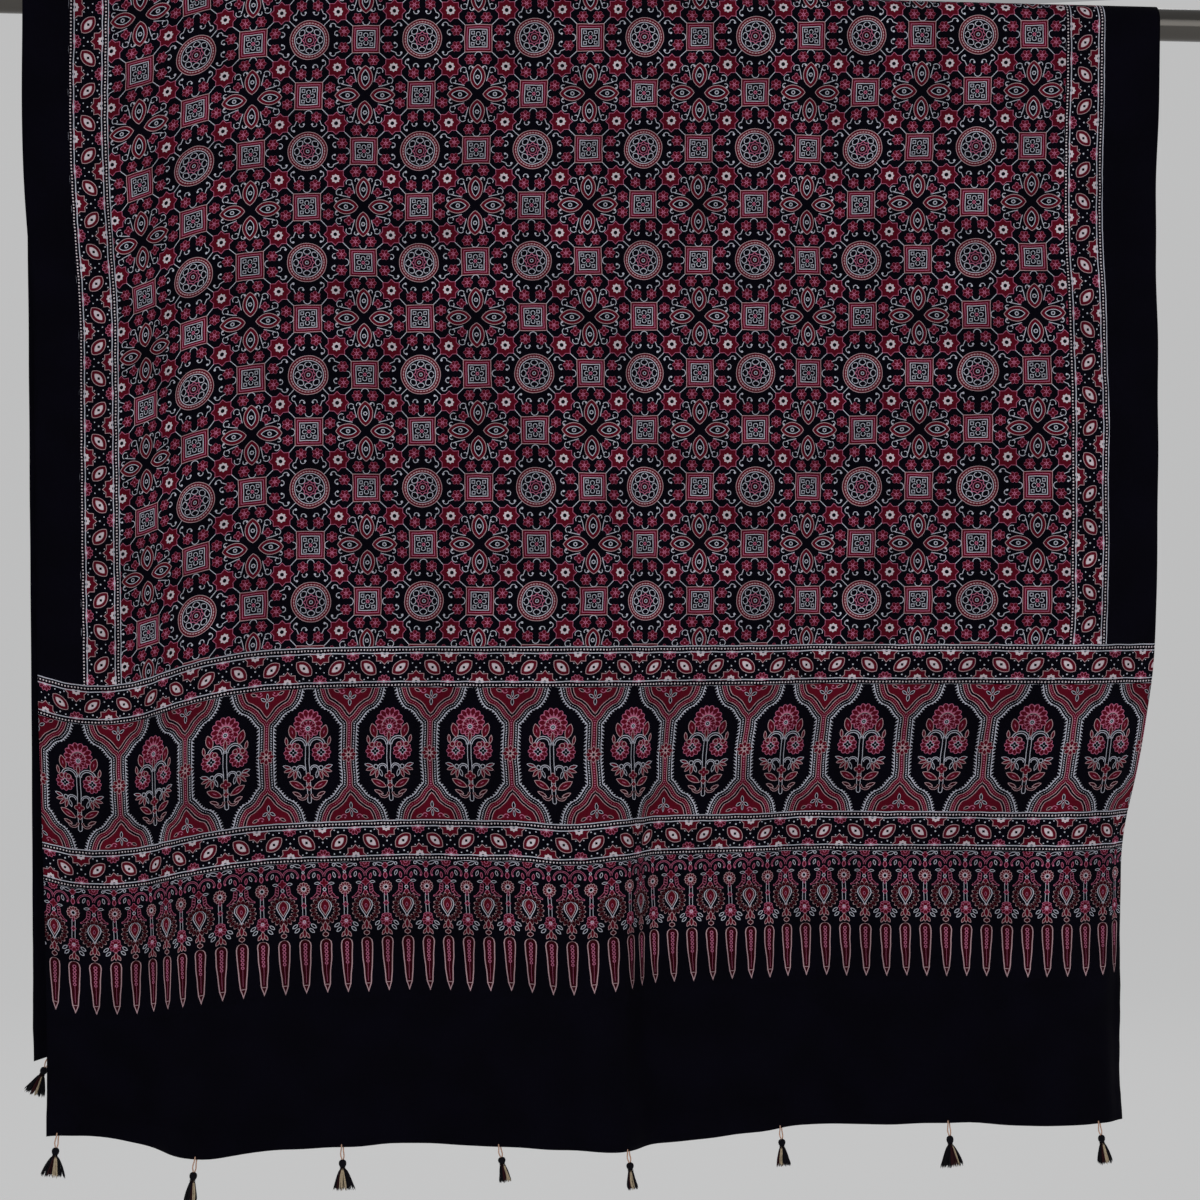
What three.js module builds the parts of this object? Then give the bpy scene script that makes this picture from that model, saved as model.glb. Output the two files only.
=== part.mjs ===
// An ajrakh shawl hung over a steel clothes rail.
// The cloth is one sheet: it runs up the front, over the rail and down the back, with folds that
// grow towards its hems. Small tassels are sewn to both hems.
// Millimetres, +Z up. The origin is on the rail's axis at the middle of the cloth, +X runs along
// the rail and the front of the cloth faces -Y.
import * as THREE from "three";

// Driving dimensions.
const CLOTH_WIDTH = 1120;
const CLOTH_THICKNESS = 1.6;
const FRONT_DROP = 1102; // from the rail's axis down to the front hem
const BACK_DROP = 1066;
const BACK_HEM_SLOPE = 0.034; // the back hem hangs askew, lower on the right
const ROD_DIAMETER = 32;
const ROD_LENGTH = 1300;
const ROD_CHAMFER = 1.5;
const ROD_SIDES = 48;
const ROD_CLEARANCE = 0.5; // between the rail and the cloth's inner face
const HEM_FLARE = { height: 45, depth: 7 }; // the stitched hem stands out a little at its edge
const TASSEL_GAP = 0.75; // from the middle of a level hem's edge to the tassel's thread

const HALF_WIDTH = CLOTH_WIDTH / 2;
const BEND_RADIUS = ROD_DIAMETER / 2 + ROD_CLEARANCE + CLOTH_THICKNESS / 2;

// Folds, one row each. A ridge is a bump centred on "at", "left" and "right" set back or bring
// forward all the cloth on that side of it. Depth is outwards from the rail, and it grows from
// nothing where the drop reaches "starts" to its whole where it reaches "full".
const FRONT = {
  side: -1,
  drop: FRONT_DROP,
  lift: { depth: 36, starts: 10, full: 440 },
  anchor: -100, // the column that hangs straight down
  shift: { by: -7, full: 260 }, // how far that column moves along the rail, and by which drop
  folds: [
    { name: "left set-back", shape: "left", at: -436, half: 58, depth: -46, starts: 0, full: 330 },
    { name: "left corner", shape: "left", at: -425, half: 48, depth: -9, starts: 560, full: 1000 },
    { name: "left edge roll", shape: "left", at: -545, half: 15, depth: -8, starts: 60, full: 500 },
    { name: "upper ripple", shape: "ridge", at: -190, half: 85, depth: -11, starts: 10, full: 240 },
    { name: "billow", shape: "ridge", at: -10, half: 200, depth: 20, starts: 200, full: 900 },
    { name: "crease", shape: "right", at: 42, half: 35, depth: -33, starts: 560, full: 860 },
    { name: "right ripple", shape: "ridge", at: 235, half: 80, depth: -15, starts: 5, full: 200 },
    { name: "right billow", shape: "ridge", at: 470, half: 150, depth: 27, starts: 20, full: 420 },
    { name: "right edge roll", shape: "right", at: 546, half: 16, depth: -10, starts: 640, full: 850 },
  ],
  hemDips: [
    { at: -535, half: 80, drop: -6 },
    { at: -405, half: 95, drop: 9 },
    { at: 60, half: 200, drop: 9 },
    { at: 390, half: 90, drop: -3 },
  ],
};

const BACK = {
  side: 1,
  drop: BACK_DROP,
  lift: { depth: 16, starts: 20, full: 400 },
  anchor: -300,
  shift: { by: 0, full: 500 },
  folds: [
    { name: "left ridge", shape: "ridge", at: -330, half: 150, depth: 16, starts: 60, full: 800 },
    { name: "middle ridge", shape: "ridge", at: 30, half: 112, depth: 33, starts: 120, full: 900 },
    { name: "right ridge", shape: "ridge", at: 350, half: 108, depth: 38, starts: 60, full: 850 },
    { name: "right edge roll", shape: "right", at: 530, half: 28, depth: 12, starts: 300, full: 800 },
  ],
  hemDips: [
    { at: -480, half: 150, drop: -34 },
    { at: 190, half: 120, drop: 8 },
  ],
};

// Spans of the sheet's grid, closer together where the cloth bends.
const COLUMN_SPANS = [
  { from: -HALF_WIDTH, to: -530, steps: 3 },
  { from: -530, to: -494, steps: 1 },
  { from: -494, to: -378, steps: 6 },
  { from: -378, to: 6, steps: 10 },
  { from: 6, to: 78, steps: 8 },
  { from: 78, to: 527, steps: 10 },
  { from: 527, to: HALF_WIDTH, steps: 4 },
];
const WRAP_STEPS = 12; // over the rail
const DROP_SHARES = {
  front: [0.035, 0.09, 0.17, 0.26, 0.36, 0.46, 0.54, 0.62, 0.7, 0.78, 0.87, 0.95, 0.98, 1],
  back: [0.04, 0.1, 0.2, 0.32, 0.45, 0.6, 0.75, 0.88, 0.96, 1],
};

// Tassels, one row each: where along the hem, how far it leans to the right, how far it swings
// out from the cloth, its length with the loop, and how far its skirt spreads to each side.
const FRONT_TASSELS = [
  { at: -549, lean: -7, swing: 4, length: 40, spread: 13 },
  { at: -397, lean: -8, swing: 2, length: 42, spread: 6.5 },
  { at: -257, lean: 1, swing: 5, length: 41, spread: 12.5 },
  { at: -103, lean: 9, swing: 3, length: 34, spread: 6 },
  { at: 23, lean: 7, swing: 3, length: 37, spread: 5.5 },
  { at: 200, lean: 4, swing: 4, length: 38, spread: 7.5 },
  { at: 369, lean: 4, swing: 5, length: 44, spread: 12.5 },
  { at: 524, lean: 9, swing: 2, length: 41, spread: 8 },
];
const BACK_TASSELS = [
  { at: -545, lean: -22, swing: 6, length: 42, spread: 11 },
  { at: -405, lean: 5, swing: 3, length: 40, spread: 8 },
  { at: -270, lean: -4, swing: 4, length: 42, spread: 12 },
  { at: -118, lean: 6, swing: 2, length: 38, spread: 7 },
  { at: 22, lean: -3, swing: 4, length: 41, spread: 10 },
  { at: 185, lean: 5, swing: 3, length: 39, spread: 7 },
  { at: 345, lean: -6, swing: 5, length: 42, spread: 11 },
  { at: 505, lean: 4, swing: 3, length: 40, spread: 9 },
];

// A tassel from its loop down to the ends of its threads: share of the length, the half width
// there, and how much of the skirt's spread is added.
const TASSEL_SECTIONS = [
  { along: 0, half: 1.2, flare: 0 },
  { along: 0.28, half: 1.3, flare: 0 },
  { along: 0.33, half: 3, flare: 0 },
  { along: 0.43, half: 3.2, flare: 0 },
  { along: 0.48, half: 2.3, flare: 0.05 },
  { along: 0.66, half: 2.3, flare: 0.5 },
  { along: 0.88, half: 2, flare: 0.85 },
  { along: 1, half: 1.2, flare: 0.8 },
];
const TASSEL_SIDES = 8;
const TASSEL_DEPTH_SHARE = 0.55; // a tassel is flatter than it is wide

const steel = new THREE.MeshStandardMaterial({ color: 0xa9a8a4, roughness: 0.18, metalness: 1 });
const printedCotton = new THREE.MeshStandardMaterial({ color: 0x14101f, roughness: 0.8, metalness: 0 });
const tasselYarn = new THREE.MeshStandardMaterial({ color: 0x121017, roughness: 0.85, metalness: 0 });

// How far the cloth stands out from the rail's axis at a column and a drop below the rail.
function foldDepth(layer, u, drop) {
  const { lift, folds } = layer;
  let depth = lift.depth * THREE.MathUtils.smoothstep(drop, lift.starts, lift.full);
  for (const fold of folds) {
    const grown = fold.depth * THREE.MathUtils.smoothstep(drop, fold.starts, fold.full);
    const place = (u - fold.at) / fold.half;
    const passed = THREE.MathUtils.smoothstep(place, -1, 1);
    if (fold.shape === "left") depth += grown * (1 - passed);
    if (fold.shape === "right") depth += grown * passed;
    if (fold.shape === "ridge" && Math.abs(place) < 1) depth += grown * Math.cos((place * Math.PI) / 2) ** 2;
  }
  return depth;
}

// Where a column hangs along the rail: folds draw the cloth in, so its width is measured along
// the folds from the column that hangs straight.
function columnPlace(layer, u, drop) {
  const step = 4;
  const count = Math.max(1, Math.ceil(Math.abs(u - layer.anchor) / step));
  const du = (u - layer.anchor) / count;
  let x = layer.anchor + layer.shift.by * THREE.MathUtils.smoothstep(drop, 0, layer.shift.full);
  for (let i = 0; i < count; i++) {
    const from = layer.anchor + i * du;
    const slope = (foldDepth(layer, from + du, drop) - foldDepth(layer, from, drop)) / du;
    x += du * Math.sqrt(Math.max(0.05, 1 - slope * slope));
  }
  return x;
}

// The drop of the hem at a column.
function hemDrop(layer, u) {
  let drop = layer.drop + (layer === BACK ? BACK_HEM_SLOPE * u : 0);
  for (const dip of layer.hemDips) {
    const place = (u - dip.at) / dip.half;
    if (Math.abs(place) < 1) drop += dip.drop * Math.cos((place * Math.PI) / 2) ** 2;
  }
  return drop;
}

// A point of the sheet's middle surface below the rail, at a share of the way down to its hem.
function hangingPoint(layer, u, share) {
  const hem = hemDrop(layer, u);
  const drop = share * hem;
  const flare = THREE.MathUtils.smoothstep(drop, hem - HEM_FLARE.height, hem) * HEM_FLARE.depth;
  const out = BEND_RADIUS + foldDepth(layer, u, drop) + flare;
  return new THREE.Vector3(columnPlace(layer, u, drop), layer.side * out, -drop);
}

// A point of the middle surface over the rail, from the front (-1) to the back (1).
function wrapPoint(u, turn) {
  const angle = (turn * Math.PI) / 2;
  return new THREE.Vector3(u, BEND_RADIUS * Math.sin(angle), BEND_RADIUS * Math.cos(angle));
}

function gridColumns() {
  const columns = [-HALF_WIDTH];
  for (const { from, to, steps } of COLUMN_SPANS) {
    for (let i = 1; i <= steps; i++) columns.push(from + ((to - from) * i) / steps);
  }
  return columns;
}

// Rows of points from the front hem over the rail to the back hem.
function sheetRows(columns) {
  const rows = [];
  for (const share of [...DROP_SHARES.front].reverse()) rows.push(columns.map((u) => hangingPoint(FRONT, u, share)));
  for (let i = 0; i <= WRAP_STEPS; i++) rows.push(columns.map((u) => wrapPoint(u, (2 * i) / WRAP_STEPS - 1)));
  for (const share of DROP_SHARES.back) rows.push(columns.map((u) => hangingPoint(BACK, u, share)));
  return rows;
}

// A closed solid from its vertices and triangles.
function solid(points, triangles) {
  const geometry = new THREE.BufferGeometry().setFromPoints(points);
  geometry.setIndex(triangles);
  geometry.computeVertexNormals();
  return geometry;
}

// Gives the grid of points a thickness: an outer and an inner skin joined around the edge.
function sheetGeometry(rows, thickness) {
  const last = { row: rows.length - 1, column: rows[0].length - 1 };
  const skins = [0.5, -0.5].map((offset) =>
    rows.flatMap((row, j) =>
      row.map((point, i) => {
        const across = new THREE.Vector3().subVectors(row[Math.min(i + 1, last.column)], row[Math.max(i - 1, 0)]);
        const along = new THREE.Vector3().subVectors(
          rows[Math.min(j + 1, last.row)][i],
          rows[Math.max(j - 1, 0)][i],
        );
        return across.cross(along).setLength(offset * thickness).add(point);
      }),
    ),
  );
  const perRow = last.column + 1;
  const inner = skins[0].length;
  const triangles = [];
  const quad = (a, b, c, d) => triangles.push(a, b, c, a, c, d);
  for (let j = 0; j < last.row; j++) {
    for (let i = 0; i < last.column; i++) {
      const corner = j * perRow + i;
      const ring = [corner, corner + 1, corner + perRow + 1, corner + perRow];
      quad(...ring);
      quad(...ring.reverse().map((k) => k + inner));
    }
    for (const [from, to] of [[j * perRow + perRow, j * perRow], [j * perRow + last.column, (j + 1) * perRow + last.column]]) {
      quad(from, from + inner, to + inner, to);
    }
  }
  for (let i = 0; i < last.column; i++) {
    for (const [from, to] of [[i, i + 1], [last.row * perRow + i + 1, last.row * perRow + i]]) {
      quad(from, from + inner, to + inner, to);
    }
  }
  return solid([...skins[0], ...skins[1]], triangles);
}

// Where a tassel's thread leaves the hem at a column of the faceted sheet: just under its edge, and
// a little lower where the hem slopes.
function hemPoint(columns, hemRow, u) {
  const next = Math.max(1, columns.findIndex((column) => column >= u));
  const before = hemRow[next - 1];
  const after = hemRow[next];
  const share = (u - columns[next - 1]) / (columns[next] - columns[next - 1]);
  const slope = Math.abs((after.z - before.z) / (after.x - before.x));
  const point = new THREE.Vector3().lerpVectors(before, after, share);
  point.z -= TASSEL_GAP + slope * TASSEL_SECTIONS[0].half;
  return point;
}

// A tassel hanging from the origin: rings of points down its axis, closed at both ends.
function tasselGeometry({ length, spread }) {
  const points = [];
  const triangles = [];
  for (const { along, half, flare } of TASSEL_SECTIONS) {
    const width = half + flare * Math.max(0, spread - half);
    const depth = half + (width - half) * TASSEL_DEPTH_SHARE;
    for (let k = 0; k < TASSEL_SIDES; k++) {
      const angle = (2 * Math.PI * k) / TASSEL_SIDES;
      points.push(new THREE.Vector3(width * Math.cos(angle), depth * Math.sin(angle), -along * length));
    }
  }
  const lastRing = (TASSEL_SECTIONS.length - 1) * TASSEL_SIDES;
  for (let ring = 0; ring < lastRing; ring += TASSEL_SIDES) {
    for (let k = 0; k < TASSEL_SIDES; k++) {
      const a = ring + k;
      const b = ring + ((k + 1) % TASSEL_SIDES);
      triangles.push(a, b + TASSEL_SIDES, b, a, a + TASSEL_SIDES, b + TASSEL_SIDES);
    }
  }
  for (let k = 1; k < TASSEL_SIDES - 1; k++) {
    triangles.push(0, k, k + 1);
    triangles.push(lastRing, lastRing + k + 1, lastRing + k);
  }
  return solid(points, triangles);
}

// The rail: a plain round bar with broken edges at its ends.
function rodGeometry() {
  const radius = ROD_DIAMETER / 2;
  const end = ROD_LENGTH / 2;
  const profile = [
    [0, -end],
    [radius - ROD_CHAMFER, -end],
    [radius, ROD_CHAMFER - end],
    [radius, end - ROD_CHAMFER],
    [radius - ROD_CHAMFER, end],
    [0, end],
  ];
  const bar = new THREE.LatheGeometry(
    profile.map(([r, y]) => new THREE.Vector2(r, y)),
    ROD_SIDES,
  );
  return bar.rotateZ(-Math.PI / 2);
}

function addPiece(parent, name, geometry, material) {
  const mesh = new THREE.Mesh(geometry, material);
  mesh.name = name;
  parent.add(mesh);
  return mesh;
}

const hanging = new THREE.Group();
const columns = gridColumns();
const rows = sheetRows(columns);
addPiece(hanging, "rod", rodGeometry(), steel);
addPiece(hanging, "cloth", sheetGeometry(rows, CLOTH_THICKNESS), printedCotton);

// Each tassel hangs just under the hem's edge by its own thread.
for (const [label, tassels, hemRow, side] of [
  ["front", FRONT_TASSELS, rows[0], FRONT.side],
  ["back", BACK_TASSELS, rows[rows.length - 1], BACK.side],
]) {
  tassels.forEach((tassel, i) => {
    const mesh = addPiece(hanging, `tassel_${label}_${i + 1}`, tasselGeometry(tassel), tasselYarn);
    mesh.position.copy(hemPoint(columns, hemRow, tassel.at));
    mesh.rotation.set(THREE.MathUtils.degToRad(side * tassel.swing), THREE.MathUtils.degToRad(-tassel.lean), 0);
  });
}

export default hanging;
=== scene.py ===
import math
import bmesh
import bpy
import numpy as np
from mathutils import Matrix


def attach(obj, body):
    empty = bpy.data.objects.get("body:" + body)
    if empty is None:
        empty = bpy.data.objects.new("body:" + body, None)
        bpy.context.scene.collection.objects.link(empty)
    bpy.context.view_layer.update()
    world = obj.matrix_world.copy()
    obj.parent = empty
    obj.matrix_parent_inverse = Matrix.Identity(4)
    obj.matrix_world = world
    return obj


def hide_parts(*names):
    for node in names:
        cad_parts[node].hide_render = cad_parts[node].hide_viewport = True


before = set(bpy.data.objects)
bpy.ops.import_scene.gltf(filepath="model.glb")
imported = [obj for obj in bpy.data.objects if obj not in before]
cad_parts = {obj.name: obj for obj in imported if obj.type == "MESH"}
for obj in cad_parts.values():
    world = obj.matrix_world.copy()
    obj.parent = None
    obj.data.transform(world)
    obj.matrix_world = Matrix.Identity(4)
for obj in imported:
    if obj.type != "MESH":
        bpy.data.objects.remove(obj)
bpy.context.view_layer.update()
MM = 0.001

# The rod: a length of stainless steel tube, drawn and polished, that a shop hangs cloth on.
# It runs level under the fold of the cloth and is held outside the piece, so its ends are plain.
ROD_RADIUS = 16.0
ROD_HALF_LENGTH = 650.0
ROD_CHAMFER = 1.5
ROD_SIDES = 96
EDGE_RINGS = 0.1, 0.2  # narrow rings on both sides of the chamfer, which keep its shading crisp
DRAWN_LINES = (6.0, 900.0, 900.0)  # repeats a metre: lines about 170 mm long and 1.1 mm wide


def linear(hex_colour):
    """sRGB hex to linear RGBA: c / 12.92 for dark c, otherwise ((c + 0.055) / 1.055) to the power 2.4."""
    c = np.array([int(hex_colour[i:i + 2], 16) for i in (1, 3, 5)]) / 255
    c = np.where(c <= 0.04045, c / 12.92, ((c + 0.055) / 1.055) ** 2.4)
    return (*c.tolist(), 1.0)


def add_node(tree, kind, inputs=(), operation=None, **settings):
    """Adds a shader node, sets its properties and fills its inputs, in order or by name, with values or
    links. Returns the one output in use, or the list of them."""
    node = tree.nodes.new("ShaderNode" + kind)
    if operation:
        node.operation = operation
    for name, value in settings.items():
        setattr(node, name, value)
    if isinstance(inputs, dict):
        pairs = [(node.inputs[name], value) for name, value in inputs.items()]
    else:
        pairs = list(zip([s for s in node.inputs if s.enabled], inputs))
    for socket, value in pairs:
        if isinstance(value, bpy.types.NodeSocket):
            tree.links.new(value, socket)
        elif value is not None:
            socket.default_value = value
    used = [s for s in node.outputs if s.enabled]
    return used[0] if len(used) == 1 else used


def new_material(name):
    """An empty node material; its tree is filled by the section that makes it."""
    material = bpy.data.materials.new(name)
    material.use_nodes = True
    material.node_tree.nodes.clear()
    return material


def grid_quads(rows, columns, around=False):
    """Corner indices of a grid's quads, row by row; around joins the last column to the first."""
    j, i = np.meshgrid(np.arange(rows - 1), np.arange(columns - (0 if around else 1)), indexing="ij")
    right = (i + 1) % columns
    quads = [j * columns + i, j * columns + right, (j + 1) * columns + right, (j + 1) * columns + i]
    return np.stack(quads, -1).reshape(-1, 4)


def add_piece(name, points, quads, materials, picks=None):
    """A smooth mesh from points in mm and quads; picks gives each quad's place in the list of materials."""
    mesh = bpy.data.meshes.new(name)
    mesh.vertices.add(len(points))
    mesh.vertices.foreach_set("co", (np.asarray(points) * MM).astype(np.float32).ravel())
    mesh.loops.add(quads.size)
    mesh.loops.foreach_set("vertex_index", quads.astype(np.int32).ravel())
    mesh.polygons.add(len(quads))
    mesh.polygons.foreach_set("loop_start", np.arange(0, quads.size, 4, dtype=np.int32))
    for material in materials:
        mesh.materials.append(material)
    if picks is not None:
        mesh.polygons.foreach_set("material_index", picks.astype(np.int32))
    mesh.update(calc_edges=True)
    mesh.shade_smooth()
    piece = bpy.data.objects.new(name, mesh)
    bpy.context.scene.collection.objects.link(piece)
    return piece


def close_poles(piece):
    """Merges points that lie in one place, so that rings drawn in to a point close there."""
    shape = bmesh.new()
    shape.from_mesh(piece.data)
    bmesh.ops.remove_doubles(shape, verts=shape.verts, dist=1e-6)
    bmesh.ops.recalc_face_normals(shape, faces=shape.faces)
    shape.to_mesh(piece.data)
    shape.free()


# Drawn and polished stainless steel: a grey metal with faint lines along its length, which blur
# reflections a little more along some strips than along others.
steel = new_material("polished_stainless_steel")
tree = steel.node_tree
place = add_node(tree, "TexCoord")[3]
stretched = add_node(tree, "VectorMath", [place, DRAWN_LINES], "MULTIPLY")
drawn_lines = add_node(tree, "TexNoise", {"Vector": stretched, "Scale": 1.0, "Detail": 2.0})[0]
blur = add_node(tree, "MapRange", [drawn_lines, 0.3, 0.7, 0.13, 0.26])
lines = add_node(tree, "Bump", {"Height": drawn_lines, "Strength": 0.06, "Distance": 0.0004})
shader = add_node(tree, "BsdfPrincipled", {
    "Base Color": linear("#5e5b57"), "Metallic": 1.0, "Roughness": blur, "Normal": lines})
add_node(tree, "OutputMaterial", [shader])

rod_profile = np.array([
    (-ROD_HALF_LENGTH, 0.0), (-ROD_HALF_LENGTH, ROD_RADIUS - ROD_CHAMFER - EDGE_RINGS[0]),
    (-ROD_HALF_LENGTH, ROD_RADIUS - ROD_CHAMFER), (ROD_CHAMFER - ROD_HALF_LENGTH, ROD_RADIUS),
    (ROD_CHAMFER + EDGE_RINGS[1] - ROD_HALF_LENGTH, ROD_RADIUS)])
rod_profile = np.concatenate([rod_profile, (rod_profile * (-1, 1))[::-1]])
turn = np.linspace(0, 2 * np.pi, ROD_SIDES, endpoint=False)
rod_points = np.stack([
    np.repeat(rod_profile[:, :1], ROD_SIDES, 1),
    -rod_profile[:, 1:] * np.cos(turn),
    -rod_profile[:, 1:] * np.sin(turn)], -1)
rod_quads = grid_quads(len(rod_profile), ROD_SIDES, around=True)
rod = add_piece("steel_rod", rod_points.reshape(-1, 3), rod_quads, [steel])
close_poles(rod)
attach(rod, "root")
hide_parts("rod")

# The cloth: one length of fine cotton, resist-printed by hand with wooden blocks and dyed in indigo
# and madder. It is folded over the rod; the lower edges are turned up and stitched, the long edges
# are selvedges. Lengths are in mm, "across" from the middle and "along" from the front hem.
HALF_WIDTH = 560.0
BEND_RADIUS = 17.3
QUARTER_TURN = BEND_RADIUS * math.pi / 2
FRONT_DROP, BACK_DROP = 1102.0, 1066.0
CREST = FRONT_DROP + QUARTER_TURN
LENGTH = CREST + QUARTER_TURN + BACK_DROP
BACK_HEM_SLOPE = 0.034
HEM_FLARE_HEIGHT, HEM_FLARE_DEPTH = 45.0, 7.0
CLOTH_THICKNESS = 0.9
# Folds: shape, place across, half width, depth outwards, drop where it starts and where it is whole.
FRONT_FOLDS = [
    ("left", -436, 58, -46, 0, 330), ("left", -425, 48, -9, 560, 1000), ("left", -545, 15, -8, 60, 500),
    ("ridge", -190, 85, -11, 10, 240), ("ridge", -10, 200, 20, 200, 900), ("right", 42, 35, -33, 560, 860),
    ("ridge", 235, 80, -15, 5, 200), ("ridge", 470, 150, 27, 20, 420), ("right", 546, 16, -10, 640, 850)]
BACK_FOLDS = [
    ("ridge", -330, 150, 16, 60, 800), ("ridge", 30, 112, 33, 120, 900), ("ridge", 350, 108, 38, 60, 850),
    ("right", 530, 28, 12, 300, 800)]
# Side, drop, lift off the rod with its start and end, still column, its shift and that drop's end.
FRONT = dict(side=-1, drop=FRONT_DROP, lift=(36, 10, 440), anchor=-100, shift=(-7, 260), folds=FRONT_FOLDS,
             dips=[(-535, 80, -6), (-405, 95, 9), (60, 200, 9), (390, 90, -3)], slope=0.0)
BACK = dict(side=1, drop=BACK_DROP, lift=(16, 20, 400), anchor=-300, shift=(0, 500), folds=BACK_FOLDS,
            dips=[(-480, 150, -34), (190, 120, 8)], slope=BACK_HEM_SLOPE)


def smooth(x, low, high):
    """0 below low, 1 above high and 3 t t - 2 t t t between."""
    t = np.clip((x - low) / (high - low), 0, 1)
    return t * t * (3 - 2 * t)


def bump(x, at, half):
    """A soft bump of height 1: the squared cosine of a quarter turn at half width, 0 beyond."""
    return np.cos(np.clip((x - at) / half, -1, 1) * np.pi / 2) ** 2


def fold_depth(layer, across, drop):
    """How far the cloth stands out: its lift plus every fold, each grown with the drop."""
    depth = layer["lift"][0] * smooth(drop, *layer["lift"][1:])
    for shape, at, half, deep, starts, full in layer["folds"]:
        passed = smooth(across, at - half, at + half)
        share = {"left": 1 - passed, "right": passed, "ridge": bump(across, at, half)}[shape]
        depth = depth + deep * smooth(drop, starts, full) * share
    return depth


def hem_drop(layer, across):
    """The drop of the hem: the layer's own, its slope and its dips."""
    dips = sum(deep * bump(across, at, half) for at, half, deep in layer["dips"])
    return layer["drop"] + layer["slope"] * across + dips


def hang(layer, across, drop):
    """Points of a layer: sideways the cloth's width is measured along its folds from the still column,
    as the running sum of sqrt(1 - slope squared), read from a table by two straight-line steps."""
    column_step, level_step, lowest, steepest = 2.0, 6.0, 1200, 0.05
    fine = np.arange(-HALF_WIDTH, HALF_WIDTH + 1, column_step)
    levels = np.arange(0, lowest, level_step)
    slopes = np.diff(fold_depth(layer, fine[None], levels[:, None]), axis=1) / column_step
    run = np.cumsum(column_step * np.sqrt(np.maximum(steepest, 1 - slopes ** 2)), axis=1)
    run = np.concatenate([np.zeros((len(levels), 1)), run], 1)
    still = int((layer["anchor"] + HALF_WIDTH) / column_step)
    shift, shifted = layer["shift"]
    run += layer["anchor"] - run[:, still:still + 1] + shift * smooth(levels, 0, shifted)[:, None]
    i = np.clip((across + HALF_WIDTH) / column_step, 0, len(fine) - 1.001)
    j = np.clip(drop / level_step, 0, len(levels) - 1.001)
    i0, j0 = i.astype(int), j.astype(int)
    fi, fj = i - i0, j - j0
    x = ((run[j0, i0] * (1 - fi) + run[j0, i0 + 1] * fi) * (1 - fj)
         + (run[j0 + 1, i0] * (1 - fi) + run[j0 + 1, i0 + 1] * fi) * fj)
    hem = hem_drop(layer, across)
    flare = HEM_FLARE_DEPTH * smooth(drop, hem - HEM_FLARE_HEIGHT, hem)
    out = BEND_RADIUS + fold_depth(layer, across, drop) + flare
    return x, layer["side"] * out, -drop


# Slips: depth, place across and width, then the share of it at places along the cloth.
LEFT_SLIP, LEFT_SHARE = (38, -500, 105), ([0, 146, 310, 462], [0, 0.7, 0.8, 1])
FOLD_SLIP, FOLD_SHARE = (4, -35, 60), ([0, 146, 310, 420], [0, 1, 1, 0])
SLANT_SHARE, HEM_SHARE, OVER_THE_ROD = ([542, CREST], [0, 1]), ([0, 146], [1, 0]), (CREST - 60, CREST + 160)


def slip(across, along):
    """How far the cloth has slid down the front: a dip by the left edge and a slant that fade towards
    the front hem, which has its own dips, and what the back hem's line asks for behind the rod."""
    deep, at, wide = LEFT_SLIP
    front = deep * np.exp(-((across - at) / wide) ** 2) * np.interp(along, *LEFT_SHARE)
    front = front - BACK_HEM_SLOPE * across * np.interp(along, *SLANT_SHARE)
    deep, at, wide = FOLD_SLIP
    front = front + deep * bump(across, at, wide) * np.interp(along, *FOLD_SHARE)
    front = front + (hem_drop(FRONT, across) - FRONT_DROP) * np.interp(along, *HEM_SHARE)
    back = BACK_DROP - hem_drop(BACK, across)
    return front + (back - front) * smooth(along, *OVER_THE_ROD)


# Wrinkles: the turned hem's step and its end, the trough above it, the lip of the lower crease, all in mm.
HEM_STEP, HEM_ENDS, TROUGH, TROUGH_AT, TROUGH_WAVE = 0.9, (25, 29), 1.3, (33, 8), 37
LIP, LIP_AT, LIP_GROWS, LIP_FADES = 3.2, (20, 14), (0, 60), (330, 480)
# Ripples: wave length, lean, phase and height, first those of the plain ends only.
END_RIPPLES = [(61, 0.35, 1.3, 1.0), (83, -0.6, 0.4, 0.9), (47, 1.4, 2.1, 0.7)]
SLOW_RIPPLES = [(173, 0.2, 0.3, 0.8), (118, -0.9, 1.9, 0.55), (236, 2.2, 4.0, 0.9)]
PLAIN_FADES, TAUT_NEAR_ROD = (110, 260), 260


def creases(across, along):
    """Small wrinkles, outwards in mm: the turned hem's step, the soft troughs above it, the lip of the
    lower crease, and slow ripples made of a few crossed waves, all fading towards the rod."""
    end = np.minimum(along, LENGTH - along)
    uneven = 0.4 + 0.6 * np.sin(across / TROUGH_WAVE) ** 2
    out = HEM_STEP * (1 - smooth(end, *HEM_ENDS)) - TROUGH * bump(end, *TROUGH_AT) * uneven
    out = out + LIP * bump(across, *LIP_AT) * smooth(along, *LIP_GROWS) * (1 - smooth(along, *LIP_FADES))
    for ripples, share in ((END_RIPPLES, 1 - smooth(end, *PLAIN_FADES)), (SLOW_RIPPLES, 1)):
        for wave, lean, phase, size in ripples:
            out = out + size * share * np.sin((across + lean * along) * 2 * np.pi / wave + phase)
    return out * np.minimum(1, np.abs(along - CREST) / TAUT_NEAR_ROD)


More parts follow.
